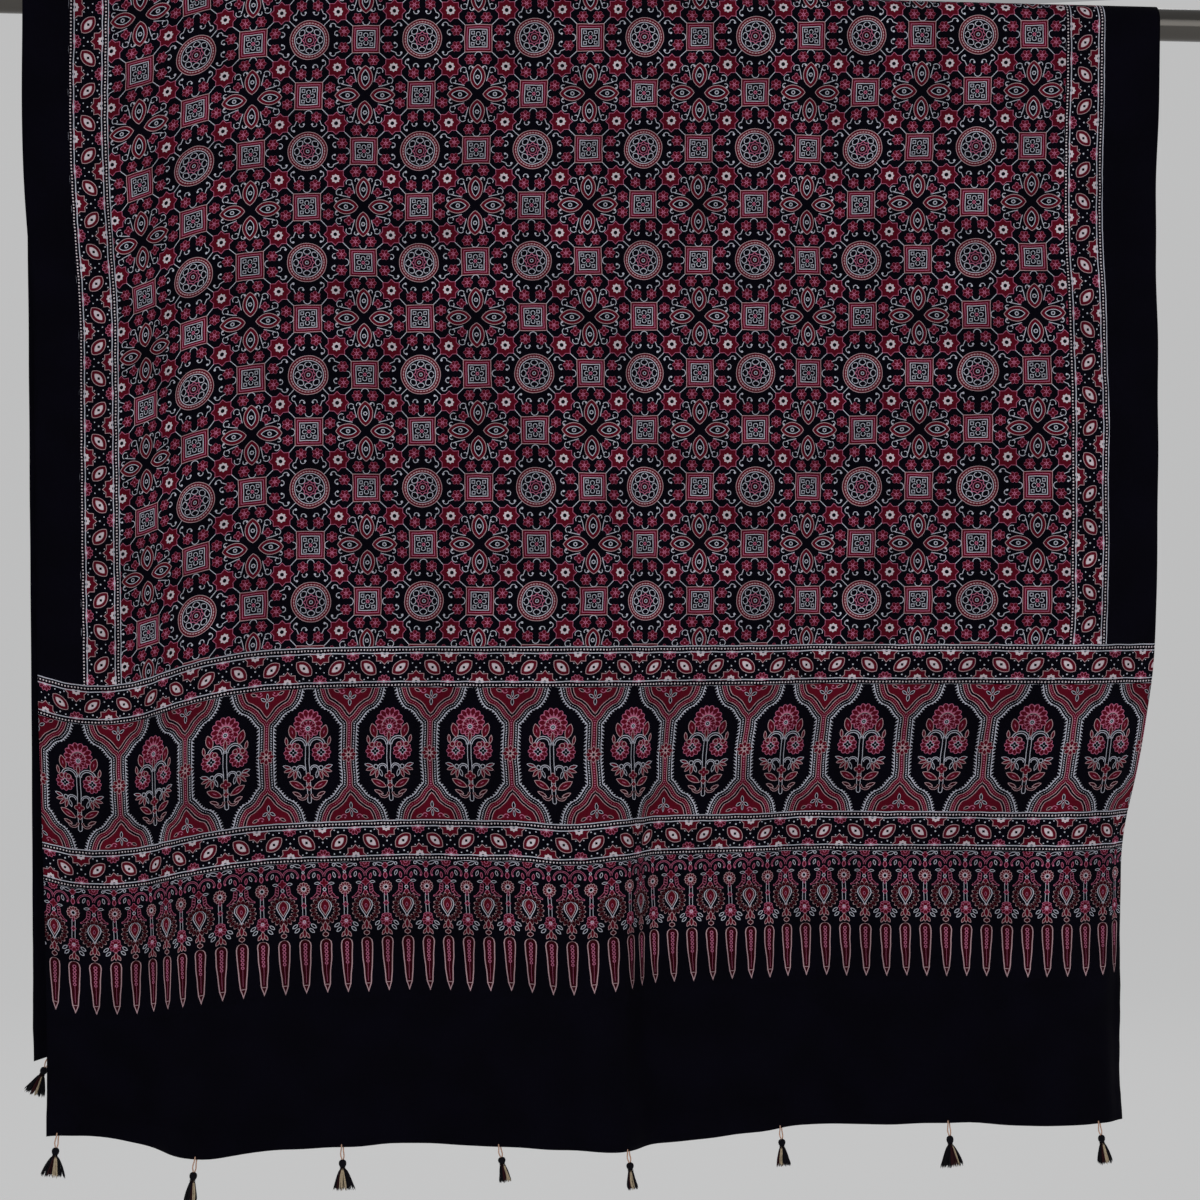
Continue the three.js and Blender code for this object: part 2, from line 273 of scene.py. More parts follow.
# The print's parts, from a hem upwards: where each starts along the cloth, and across it.
DAGGER_TIPS, FRINGE_TOP, LOWER_BORDER_TOP, ARCHES_TOP, FIELD_START = 146.0, 273.0, 312.5, 440.0, 479.5
PRINT_END = DAGGER_TIPS - 4
FIELD_LEFT, FIELD_RIGHT, STRIP = -476.0, 466.0, 39.0
PRINT_ASIDE = ([146, 273, 374, 480, 525, 1075], [0, 4.8, 11.5, 7, 5, 10])  # mm along, mm to the left there
RIGHT_ASIDE = ([312, 440, 560, 850, 1075], [0, 3, 6.5, 1.5, 2])  # the same, added right of the central fold
RIGHT_GROWS, RIGHT_FADES = (0, 70), (310, FIELD_RIGHT)


def spread_levels(stops):
    """Grid lines through every stop, with steps no longer than the length given for each stretch."""
    parts = [np.linspace(a, b, max(1, int(np.ceil((b - a) / step))) + 1)[:-1]
             for (a, step), (b, _) in zip(stops, stops[1:])]
    return np.concatenate(parts + [[stops[-1][0]]])


# Grid lines: closer at the hems, over the rod, at the margins and at the fold between 0 and 84 across.
HEM_ROW, ROW, CREST_ROW = 4, 9.0, 3.1
lower_end = [(0, HEM_ROW), (36, ROW), (PRINT_END, ROW), (FRINGE_TOP, ROW), (LOWER_BORDER_TOP, ROW),
             (ARCHES_TOP, ROW)]
upper_end = [(LENGTH - at, step) for (_, step), (at, _) in zip(lower_end[:-1], lower_end[1:])][::-1]
along = spread_levels(lower_end + [(FIELD_START, ROW), (CREST - 62, CREST_ROW), (CREST + 100, ROW),
                                   (LENGTH - FIELD_START, ROW)] + upper_end + [(LENGTH, ROW)])
across = spread_levels([(-HALF_WIDTH, 6), (FIELD_LEFT - STRIP, 8), (FIELD_LEFT, 7), (-370, 9.5), (0, 4.5),
                        (84, 9.5), (FIELD_RIGHT, 8), (FIELD_RIGHT + STRIP, 6), (HALF_WIDTH, 6)])


def cloth_points(across, along):
    """Points of the cloth's middle surface on a grid: the print sits a little aside of the column that
    hangs there, a path length from the crest gives the bend over the rod or the drop of a layer."""
    end = np.minimum(along, LENGTH - along)
    right = smooth(across, *RIGHT_GROWS) * (1 - smooth(across, *RIGHT_FADES))
    aside = (1 - (across / HALF_WIDTH) ** 2) * np.interp(end, *PRINT_ASIDE)
    aside = aside + right * np.interp(end, *RIGHT_ASIDE)
    column = across - aside
    path = along - CREST - slip(column, along)
    drop = np.maximum(np.abs(path) - QUARTER_TURN, 0)
    angle = np.clip(path / BEND_RADIUS, -np.pi / 2, np.pi / 2)
    front = np.stack(hang(FRONT, column, drop))
    back = np.stack(hang(BACK, column, drop))
    points = np.where(path < 0, front, back)
    over = drop == 0
    points[1] = np.where(over, BEND_RADIUS * np.sin(angle), points[1])
    points[2] = np.where(over, BEND_RADIUS * np.cos(angle), points[2])
    points[1] += np.where(path < 0, -1, 1) * creases(column, along)
    return np.moveaxis(points, 0, -1)


along_grid, across_grid = np.meshgrid(along, across, indexing="ij")
sheet_points = cloth_points(across_grid, along_grid)
sheet_quads = grid_quads(len(along), len(across))
mid_along = np.repeat((along[1:] + along[:-1]) / 2, len(across) - 1)
mid_across = np.tile((across[1:] + across[:-1]) / 2, len(along) - 1)
mid_end = np.minimum(mid_along, LENGTH - mid_along)
# The cottons by their print: plain ends and margins, field, borders and side strips, arches, fringe.
PLAIN, FIELD, BORDER, ARCHES, FRINGE = range(5)
beside = (mid_across < FIELD_LEFT) | (mid_across > FIELD_RIGHT)
margin = (mid_across < FIELD_LEFT - STRIP) | (mid_across > FIELD_RIGHT + STRIP)
region = np.where(margin, PLAIN, np.where(beside, BORDER, FIELD))
for top, kind in [(FIELD_START, BORDER), (ARCHES_TOP, ARCHES), (LOWER_BORDER_TOP, BORDER),
                  (FRINGE_TOP, FRINGE), (PRINT_END, PLAIN)]:
    region = np.where(mid_end < top, kind, region)

# Hand-printed cotton, woven plain, washed and quite matt. Indigo over iron black gives the ground,
# madder the reds, and the lines that the resist paste kept free of dye stay pale.
INKS = {"ground": "#05040c", "wine": "#30050e", "red": "#540b1b", "pink": "#ab5f7c", "tan": "#ab8c92",
        "pale": "#b4b5c2", "cream": "#c6bac1"}
SLUB = 1.1  # thread thickness drawn, in mm: the real threads, 0.25 mm, are too fine to show
SLUB_RUN = 0.06  # repeats a mm along a thread
WANDER, WANDER_REACH, FADE = 14, (0.9, 0.9, 0.0), 45  # mm: how printed lines waver and the dye fades


def printed_cotton(name, build):
    """A cotton material: build(tree, u, v) gives the ink's level from the mm coordinates of the print, a
    ramp of steps gives its colour; slow fading and thick and thin threads both ways are laid over it."""
    material = new_material(name)
    tree = material.node_tree
    where = add_node(tree, "UVMap", uv_map="print_mm")
    wander = add_node(tree, "TexNoise", {"Vector": where, "Scale": 1 / WANDER, "Detail": 0.0},
                      noise_dimensions="2D")[1]
    shifted = add_node(tree, "VectorMath", [wander, WANDER_REACH, where], "MULTIPLY_ADD")
    u, v, _ = add_node(tree, "SeparateXYZ", [shifted])
    colour = add_node(tree, "ValToRGB", [build(tree, u, v)])[0]
    ramp = colour.node.color_ramp
    ramp.interpolation = "CONSTANT"
    ramp.elements.remove(ramp.elements[-1])
    for k, ink in enumerate(INKS.values()):
        step = ramp.elements[0] if k == 0 else ramp.elements.new(k / len(INKS))
        step.color = linear(ink)
    warp_and_weft = []
    for stretch in ((1 / SLUB, SLUB_RUN, 0), (SLUB_RUN, 1 / SLUB, 0)):
        slubs = add_node(tree, "VectorMath", [where, stretch], "MULTIPLY")
        warp_and_weft.append(add_node(tree, "TexNoise", {"Vector": slubs, "Scale": 1.0, "Detail": 0.0},
                                      noise_dimensions="2D")[0])
    threads = add_node(tree, "Math", warp_and_weft, "ADD")
    fade = add_node(tree, "TexNoise", {"Vector": where, "Scale": 1 / FADE, "Detail": 0.0},
                    noise_dimensions="2D")[0]
    tone = add_node(tree, "Math", [threads, 0.35, fade], "MULTIPLY_ADD")
    tone = add_node(tree, "MapRange", [tone, 0.6, 1.15, 0.8, 1.15])
    colour = add_node(tree, "Mix", [1.0, colour, tone], data_type="RGBA", blend_type="MULTIPLY")
    weave = add_node(tree, "Bump", {"Height": threads, "Strength": 0.25, "Distance": 0.0006})
    shader = add_node(tree, "BsdfPrincipled", {
        "Base Color": colour, "Roughness": 0.82, "Specular IOR Level": 0.035, "Normal": weave})
    add_node(tree, "OutputMaterial", [shader])
    return material


FAR_OFF = 99.0  # mm, past every band
DIAGONAL = 0.7071  # both parts of a unit vector at 45 degrees


def carve(tree, point, kind, place):
    """How far a point is out from a motif's middle, in mm, for each way a block is cut."""
    if kind == "stroke":  # distance to a straight cut from one end to the other
        a, b = np.array(place[:2]), np.array(place[2:])
        reach = (b - a) / float(((b - a) ** 2).sum())
        from_a = add_node(tree, "VectorMath", [point, (*a, 0)], "SUBTRACT")
        share = add_node(tree, "VectorMath", [from_a, (*reach, 0)], "DOT_PRODUCT")
        share = add_node(tree, "Clamp", [share, 0.0, 1.0])
        foot = add_node(tree, "VectorMath", [(*(b - a), 0), share], "SCALE")
        return add_node(tree, "VectorMath", [from_a, foot], "DISTANCE")
    if kind == "round":  # distance to the middle
        return add_node(tree, "VectorMath", [point, (*place, 0)], "DISTANCE")
    if kind == "almond":  # the farther of two circles' middles, less their offset: half width at the waist
        x, y, lean, half_length, half_width = place
        offset = (half_length ** 2 - half_width ** 2) / (2 * half_width)
        side = np.array([-math.sin(math.radians(lean)), math.cos(math.radians(lean))]) * offset
        far = [add_node(tree, "VectorMath", [point, (x + s * side[0], y + s * side[1], 0)],
                        "DISTANCE") for s in (-1, 1)]
        far = add_node(tree, "Math", far, "MAXIMUM")
        return add_node(tree, "Math", [far, offset], "SUBTRACT")
    local = add_node(tree, "VectorMath", [point, (*place[:2], 0)], "SUBTRACT")
    if kind in ("square", "star"):  # the larger side, for a star at most the slanted sum
        size = add_node(tree, "VectorMath", [local], "ABSOLUTE")
        dx, dy, _ = add_node(tree, "SeparateXYZ", [size])
        larger = add_node(tree, "Math", [dx, dy], "MAXIMUM")
        if kind == "square":
            return larger
        slanted = add_node(tree, "VectorMath", [size, (DIAGONAL, DIAGONAL, 0)], "DOT_PRODUCT")
        return add_node(tree, "Math", [larger, slanted], "MINIMUM")
    if kind == "profile":  # sideways distance less a half width that follows a table down the motif
        dx, dy, _ = add_node(tree, "SeparateXYZ", [local])
        share = add_node(tree, "Math", [dy, 1 / place[2]], "MULTIPLY")
        width = add_node(tree, "FloatCurve", [1.0, share])
        line = width.node.mapping.curves[0]
        for k, spot in enumerate(place[4]):
            if k in (0, len(place[4]) - 1):
                line.points[0 if k == 0 else -1].location = spot
            else:
                line.points.new(*spot)
        for spot in line.points:
            spot.handle_type = "VECTOR"
        width.node.mapping.update()
        aside = add_node(tree, "Math", [dx], "ABSOLUTE")
        return add_node(tree, "Math", [width, -place[3], aside], "MULTIPLY_ADD")
    far = add_node(tree, "VectorMath", [local], "LENGTH")
    if kind == "arc":  # off the circle line, or far away on the side that the last two numbers leave out
        off = add_node(tree, "Math", [far, place[2]], "SUBTRACT")
        off = add_node(tree, "Math", [off], "ABSOLUTE")
        facing = add_node(tree, "VectorMath", [local, (*place[3:], 0)], "DOT_PRODUCT")
        hidden = add_node(tree, "Math", [facing, 0.0], "LESS_THAN")
        return add_node(tree, "Math", [hidden, FAR_OFF, off], "MULTIPLY_ADD")
    dx, dy, _ = add_node(tree, "SeparateXYZ", [local])
    angle = add_node(tree, "Math", [dy, dx], operation="ARCTAN2")
    angle = add_node(tree, "Math", [angle, place[2] / 2], "MULTIPLY")
    swell = add_node(tree, "Math", [angle], "COSINE")
    swell = add_node(tree, "Math", [swell], "ABSOLUTE")
    if kind == "lobes":  # a disc whose edge swells into a number of scallops
        return add_node(tree, "Math", [swell, -place[3], far], "MULTIPLY_ADD")
    # petals: ovals round a circle that touch each other, as long inwards and outwards as the last number
    off = add_node(tree, "Math", [far, place[3]], "SUBTRACT")
    off = add_node(tree, "Math", [off], "ABSOLUTE")
    return add_node(tree, "Math", [swell, -place[4], off], "MULTIPLY_ADD")


def paint(ink):
    """An ink's level: the middle of its step on the ramp."""
    return (list(INKS).index(ink) + 0.5) / len(INKS)


def print_blocks(tree, x, y, chart, level):
    """Prints a chart's motifs over a level, in order: each band has an ink, the distance of its middle
    line and half its width."""
    point = add_node(tree, "CombineXYZ", [x, y])
    for kind, place, bands in chart:
        far = carve(tree, point, kind, place)
        for ink, middle, half in bands:
            inside = add_node(tree, "Math", [far, middle, half], "COMPARE")
            level = add_node(tree, "Mix", [inside, level, paint(ink)], data_type="FLOAT")
    return level


FILL = 60.0  # half of a band that covers everything inside a petal or a profile's edge
PALE_LINE = [("pale", 0, 0.33)]


def flower(x, y, petals, edge, half, swell, ring, reach):
    """A flower's rows: a scalloped disc in the edge's ink, and red petals that reach in and out of a
    ring."""
    return [("lobes", (x, y, petals, swell), [(edge, 0, half)]),
            ("petals", (x, y, petals, ring, reach), [("red", -FILL, FILL)])]


def leaf(x, y, lean, half_length, half_width, edge, fill, fill_half):
    """A leaf's row: an almond in the edge's ink, with a smaller one of another ink inside it."""
    return "almond", (x, y, lean, half_length, half_width), [(edge, 0, half_width), (fill, 0, fill_half)]


# The field, one eighth of a 110 mm repeat: a wheel at the corner, a framed square half a repeat along,
# a star between wheels and four almonds round the far corner, with flowers and curls between.
REPEAT = 110.0
WHEEL_AT = (-390.0, 523.5)
FIELD_CHART = [
    ("stroke", (13.8, 13.8, 20, 20), PALE_LINE),
    ("stroke", (41.4, 13.6, 33.6, 21.0), PALE_LINE),
    *flower(33.5, 7.8, 6, "pink", 3.9, 1.5, 3.1, 2.2),
    ("round", (33.5, 7.8), [("pink", 0, 1.1), ("red", 0, 0.5)]),
    *flower(47.2, 20.6, 6, "pink", 3.9, 1.5, 3.1, 2.2),
    ("round", (47.2, 20.6), [("pink", 0, 1.1), ("red", 0, 0.5)]),
    ("stroke", (30.2, 11.2, 25.6, 13.2), PALE_LINE),
    ("arc", (22.8, 13.4, 2.7, 0.2, 1.0), PALE_LINE),
    ("round", (20.4, 13.4), [("pale", 0, 1.1)]),
    ("arc", (26.6, 6.0, 2.3, -1.0, 0.3), PALE_LINE),
    ("round", (26.8, 3.9), [("pale", 0, 1.0)]),
    ("arc", (37.2, 0, 3.4, 1, 0), PALE_LINE),
    ("arc", (55, 17.0, 3.4, 0, -1), PALE_LINE),
    ("arc", (41.0, 31.4, 3.1, -0.5, -0.8), PALE_LINE),
    ("arc", (41.8, 31.9, 1.8, 0.7, 0.7), PALE_LINE),
    ("stroke", (44.0, 32.4, 46.4, 41.8), PALE_LINE),
    ("arc", (48.4, 29.2, 2.0, -0.6, -0.8), PALE_LINE),
    ("round", (49.9, 28.4), [("pale", 0, 1.0)]),
    ("lobes", (40.9, 40.9, 4, 2.0), [("pink", 0, 2.6), ("red", 0, 2.1)]),
    ("round", (40.9, 40.9), [("pink", 0, 0.8)]),
    ("almond", (55, 37.8, 90, 12.4, 7.5),
     [("tan", 0, 7.4), ("red", 0, 6.8), ("pale", 3.7, 0.36), ("ground", 0, 3.4)]),
    ("star", (55, 37.8), [("pale", 1.3, 0.33)]),
    ("star", (27.5, 27.5), [("pink", 0, 8.1), ("red", 0, 7.6), ("cream", 0, 3.4)]),
    ("round", (27.5, 27.5), [("ground", 0, 1.9)]),
    ("round", (0, 0), [("tan", 0, 19.3), ("red", 0, 18.7), ("pale", 14.5, 0.36), ("ground", 0, 14.1)]),
    ("petals", (0, 0, 36, 16.6, 0.6), [("tan", -FILL, FILL)]),
    ("square", (55, 0),
     [("tan", 0, 13.6), ("red", 0, 13.0), ("pink", 10.9, 0.3), ("pale", 8.6, 0.36), ("ground", 0, 8.2)]),
    ("square", (49.7, 5.3), [("pale", 1.4, 0.28)]),
    ("round", (55, 4.0), [("pale", 2.0, 0.3)]),
    ("round", (51.0, 0), [("pale", 2.0, 0.3)]),
    ("round", (55, 0), [("ground", 0, 2.6), ("pink", 0, 1.7), ("red", 0, 0.8)])]
# Inside the wheel, one sixteenth of a turn: a heart, a point of the star and the rosette.
WHEEL_CHART = [
    leaf(10.4, 0, 90, 3.8, 2.9, "pale", "ground", 2.2),
    ("stroke", (11.8, 0, 13.6, 0), [("ground", 0, 0.5)]),
    ("stroke", (7.4, 0, 5.2, 2.1), [("pink", 0, 0.4)]),
    ("round", (0, 0), [("pink", 4.1, 0.3), ("wine", 0, 3.8), ("ground", 0, 2.2), ("pale", 1.4, 0.3)])]


def field_print(tree, u, v):
    """Folds the field into an eighth of its repeat: the distances to the nearest wheel, larger first."""
    sides = []
    for value, start in ((u, WHEEL_AT[0]), (v, WHEEL_AT[1])):
        value = add_node(tree, "Math", [value, start], "SUBTRACT")
        value = add_node(tree, "Math", [value, REPEAT / 2, -REPEAT / 2], "WRAP")
        sides.append(add_node(tree, "Math", [value], "ABSOLUTE"))
    x = add_node(tree, "Math", sides, "MAXIMUM")
    y = add_node(tree, "Math", sides, "MINIMUM")
    level = print_blocks(tree, x, y, FIELD_CHART, paint("ground"))
    point = add_node(tree, "CombineXYZ", [x, y])
    slant = add_node(tree, "VectorMath", [point, (DIAGONAL, DIAGONAL, 0)], "DOT_PRODUCT")
    cross = add_node(tree, "VectorMath", [point, (DIAGONAL, -DIAGONAL, 0)], "DOT_PRODUCT")
    along_axis = add_node(tree, "Math", [x, slant], "MAXIMUM")
    off_axis = add_node(tree, "Math", [y, cross], "MINIMUM")
    return print_blocks(tree, along_axis, off_axis, WHEEL_CHART, level)


# The borders, half an eye's pitch: tilted eyes between half stars and half rosettes, and a beaded band
# along both sides.
EYE_PITCH, EYE_START, BEAD_PITCH = 31.4, 55.0 - HALF_WIDTH, 3.2
BEADS_AT, BEAD_LANE, EDGE_LINES, EDGE_LINE_HALF = 16.9, 2.3, (13.7, 19.6), 0.45
BORDER_CHART = [
    ("round", (15.7, 0), [("pale", 0, 0.8)]),
    ("round", (11.9, 4.2), [("pale", 0, 0.6)]),
    ("round", (11.9, -4.2), [("pale", 0, 0.6)]),
    ("round", (-0.4, 9.6), [("pale", 0, 0.8)]),
    ("round", (5.4, 11.2), [("pale", 0, 0.65)]),
    ("round", (4.2, -11.4), [("pale", 0, 0.65)]),
    ("round", (0.4, -9.6), [("pale", 0, 0.8)]),
    *flower(15.7, 13.6, 10, "pink", 5.5, 1.4, 4.2, 2.3),
    ("round", (15.7, 13.6), [("cream", 0, 1.3)]),
    ("star", (15.7, -13.6), [("tan", 0, 7.9), ("red", 0, 7.3), ("cream", 0, 3.3)]),
    ("round", (15.7, -13.6), [("ground", 0, 1.4)]),
    ("almond", (0, 0, 40, 9.8, 6.2),
     [("tan", 0, 6.2), ("red", 0, 5.6), ("tan", 0, 3.1), ("cream", 0, 2.7)]),
    ("square", (0, 0), [("ground", 0, 1.2)])]
BEAD_CHART = [("round", (0, BEADS_AT), [("cream", 0, 0.8)])]


def border_print(tree, u, v):
    """Folds the strip at the lines between eyes, then turns its left half over onto its right."""
    along = add_node(tree, "Math", [u, EYE_PITCH / 2 - EYE_START], "ADD")
    along = add_node(tree, "Math", [along, EYE_PITCH], "PINGPONG")
    along = add_node(tree, "Math", [along, EYE_PITCH / 2], "SUBTRACT")
    half = add_node(tree, "Math", [along], "SIGN")
    side = add_node(tree, "Math", [v, half], "MULTIPLY")
    reach = add_node(tree, "Math", [along], "ABSOLUTE")
    level = print_blocks(tree, reach, side, BORDER_CHART, paint("ground"))
    edge = add_node(tree, "Math", [v], "ABSOLUTE")
    lane = add_node(tree, "Math", [edge, BEADS_AT, BEAD_LANE], "COMPARE")
    level = add_node(tree, "Mix", [lane, level, paint("ground")], data_type="FLOAT")
    for line in EDGE_LINES:
        drawn = add_node(tree, "Math", [edge, line, EDGE_LINE_HALF], "COMPARE")
        level = add_node(tree, "Mix", [drawn, level, paint("pale")], data_type="FLOAT")
    bead = add_node(tree, "Math", [u, BEAD_PITCH / 2, -BEAD_PITCH / 2], "WRAP")
    return print_blocks(tree, bead, edge, BEAD_CHART, level)


# The arches: beaded pillars that widen above and below round an oval of bare ground, with a flowering
# bush in each oval. Measured from a pillar's axis and from the band's middle line, down.
ARCH_PITCH, ARCH_HALF = 80.0, (ARCHES_TOP - LOWER_BORDER_TOP) / 2
PILLAR_HEIGHTS = [0, 28.8, 29.8, 35.0, 38.6, 42.0, 43.3, 45.3, 49.0, 55.0, 62.0, 66.0]
PILLAR_WIDTHS = [7.6, 7.6, 9.5, 13.5, 16.0, 20.2, 24.5, 26.3, 29.4, 32.5, 34.3, 35.0]
CURVE_WIDTH = 36.0  # mm at the top of a pillar's curve
TOOTH_STEP, TOOTH_WIDTH, TOOTH_LENGTH, TOOTH_SLANT = 1.7, 0.9, 2.6, 0.6
DOT_STEP, DOT_GAP = 1.2, 0.6


def pillar_edge(depth):
    """The pillar's outline moved inwards, as a profile's place: at each height the widest spot that is
    still that deep inside."""
    tall, wide = PILLAR_HEIGHTS[-1], PILLAR_WIDTHS[-1]
    heights = np.linspace(0, tall, 45)
    spots = np.linspace(0, wide, 176)
    edge = np.linspace(0, tall, 400)
    outline = np.interp(edge, PILLAR_HEIGHTS, PILLAR_WIDTHS)
    off = np.hypot(heights[:, None, None] - edge, spots[:, None] - outline).min(-1)
    inside = (spots <= np.interp(heights, PILLAR_HEIGHTS, PILLAR_WIDTHS)[:, None]) & (off >= depth)
    widest = np.where(inside, spots, 0).max(1)
    return 0, 0, tall, CURVE_WIDTH, list(zip((heights / tall).tolist(), (widest / CURVE_WIDTH).tolist()))


COMB_CHART = [("profile", pillar_edge(0.0), [("pale", -FILL, FILL)])]
PILLAR_CHART = [("profile", pillar_edge(depth), [(ink, -FILL, FILL)]) for ink, depth in [
    ("ground", 0.8), ("tan", 4.9), ("red", 5.5), ("tan", 9.2), ("ground", 9.8), ("tan", 11.8),
    ("red", 12.4)]]
DOT_CHART = [("profile", pillar_edge(2.8), [("pale", 0, 0.6)]),
             ("profile", pillar_edge(7.3), [("pink", 0, 0.42)])]
SPANDREL_CHART = [
    leaf(0, 49.6, 90, 3.6, 1.6, "pale", "ground", 1.1),
    leaf(0, 57.6, 90, 3.4, 1.1, "pale", "ground", 0.7),
    leaf(3.6, 54.8, 35, 3.2, 1.5, "pale", "ground", 1.0),
    ("arc", (7.6, 60.6, 2.5, 0.2, -1.0), [("pink", 0, 0.4)]),
    ("round", (6.6, 61.2), [("pink", 0, 0.8)]),
    leaf(13.2, 60.6, 25, 3.4, 1.5, "tan", "ground", 1.0),
    *flower(0, 0, 8, "tan", 5.4, 2.2, 4.7, 2.4),
    ("round", (0, 0), [("tan", 0, 1.9), ("ground", 0, 1.3)])]
BUSH_CHART = [
    ("stroke", (0, -9, 0, 44), [("pale", 0, 2.1), ("ground", 0, 1.5)]),
    ("arc", (9.0, -8.6, 8.2, 0, -1), [("pale", 0, 0.36)]),
    ("arc", (9.0, -8.6, 6.2, 0, -1), [("pale", 0, 0.36)]),
    ("almond", (15.3, -22.0, 106, 7.4, 3.7), [("tan", 0, 3.7), ("red", 0, 3.1), ("pink", 0, 0.35)]),
    leaf(20.6, -13.6, 98, 4.4, 1.7, "tan", "red", 1.1),
    *flower(0, -30.0, 14, "pink", 12.2, 1.8, 9.8, 3.7),
    ("round", (0, -27.4), [("tan", 7.2, 0.4), ("ground", 0, 6.8), ("tan", 5.2, 0.4), ("red", 0, 4.8)]),
    *flower(0, -25.7, 12, "pink", 6.6, 1.4, 5.3, 2.4),
    ("round", (0, -25.7), [("pale", 0, 2.4), ("ground", 0, 1.7), ("pale", 0, 0.6)]),
    leaf(0, -16.4, 90, 5.2, 1.8, "tan", "red", 1.3),
    *flower(13.5, -2.5, 11, "pink", 7.9, 1.5, 6.2, 2.8),
    ("lobes", (13.5, -2.5, 4, 1.7), [("pale", 0, 2.3), ("ground", 0, 1.7)]),
    ("round", (13.5, -2.5), [("pale", 0, 0.6)]),
    ("round", (9.8, -8.6), [("tan", 0, 2.5), ("red", 0, 1.9)]),
    ("round", (17.1, -8.6), [("tan", 0, 2.5), ("red", 0, 1.9)]),
    ("arc", (6.6, 14.6, 4.8, 0, -1), [("pale", 0, 0.36)]),
    ("arc", (6.6, 14.6, 3.2, 0, -1), [("pale", 0, 0.36)]),
    leaf(20.0, 11.0, -16, 4.6, 1.7, "pale", "red", 1.2),
    leaf(19.0, 14.6, 18, 4.6, 1.7, "tan", "red", 1.2),
    leaf(16.6, 18.0, 46, 4.6, 1.7, "tan", "red", 1.2),
    leaf(12.6, 19.4, 78, 4.6, 1.7, "tan", "red", 1.2),
    leaf(8.8, 18.6, 108, 4.0, 1.5, "pale", "ground", 1.0),
    ("round", (12.9, 12.6), [("pale", 0, 2.2), ("ground", 0, 1.6)]),
    ("lobes", (0, 22.0, 4, 2.2), [("tan", 0, 3.0), ("red", 0, 2.4)]),
    ("round", (0, 22.0), [("pink", 0, 0.7)]),
    ("almond", (11.2, 28.6, -28, 8.4, 3.3), [("tan", 0, 3.3), ("red", 0, 2.7), ("pink", 0, 0.35)]),
    ("lobes", (0, 31.0, 4, 1.3), [("tan", 0, 1.9), ("red", 0, 1.3)]),
    ("arc", (6.6, 37.4, 4.4, 0, 1), [("tan", 0, 1.2), ("wine", 0, 0.7)]),
    leaf(11.6, 37.2, -24, 4.8, 1.8, "tan", "wine", 1.2)]


def arch_print(tree, u, v):
    """Folds the band at its pillars and ovals; pillars also fold at the band's middle line. The comb and
    the dots come from shifting the fold sideways in step with the height."""
    oval = add_node(tree, "Math", [u, HALF_WIDTH - ARCH_PITCH / 2], "ADD")
    oval = add_node(tree, "Math", [oval, ARCH_PITCH / 2], "PINGPONG")
    level = print_blocks(tree, oval, v, BUSH_CHART, paint("ground"))
    pillar = add_node(tree, "Math", [ARCH_PITCH / 2, oval], "SUBTRACT")
    height = add_node(tree, "Math", [v], "ABSOLUTE")
    step = add_node(tree, "Math", [pillar, TOOTH_SLANT, height], "MULTIPLY_ADD")
    tooth = add_node(tree, "Math", [step, TOOTH_STEP], "PINGPONG")
    tooth = add_node(tree, "MapRange", [tooth, 0.0, TOOTH_WIDTH, TOOTH_LENGTH, 0.0])
    tooth = add_node(tree, "Math", [pillar, tooth], "SUBTRACT")
    level = print_blocks(tree, tooth, height, COMB_CHART, level)
    level = print_blocks(tree, pillar, height, PILLAR_CHART, level)
    gap = add_node(tree, "Math", [step, DOT_STEP], "PINGPONG")
    gap = add_node(tree, "Math", [gap, DOT_GAP], "LESS_THAN")
    dots = add_node(tree, "Math", [gap, FAR_OFF, pillar], "MULTIPLY_ADD")
    level = print_blocks(tree, dots, height, DOT_CHART, level)
    return print_blocks(tree, pillar, height, SPANDREL_CHART, level)


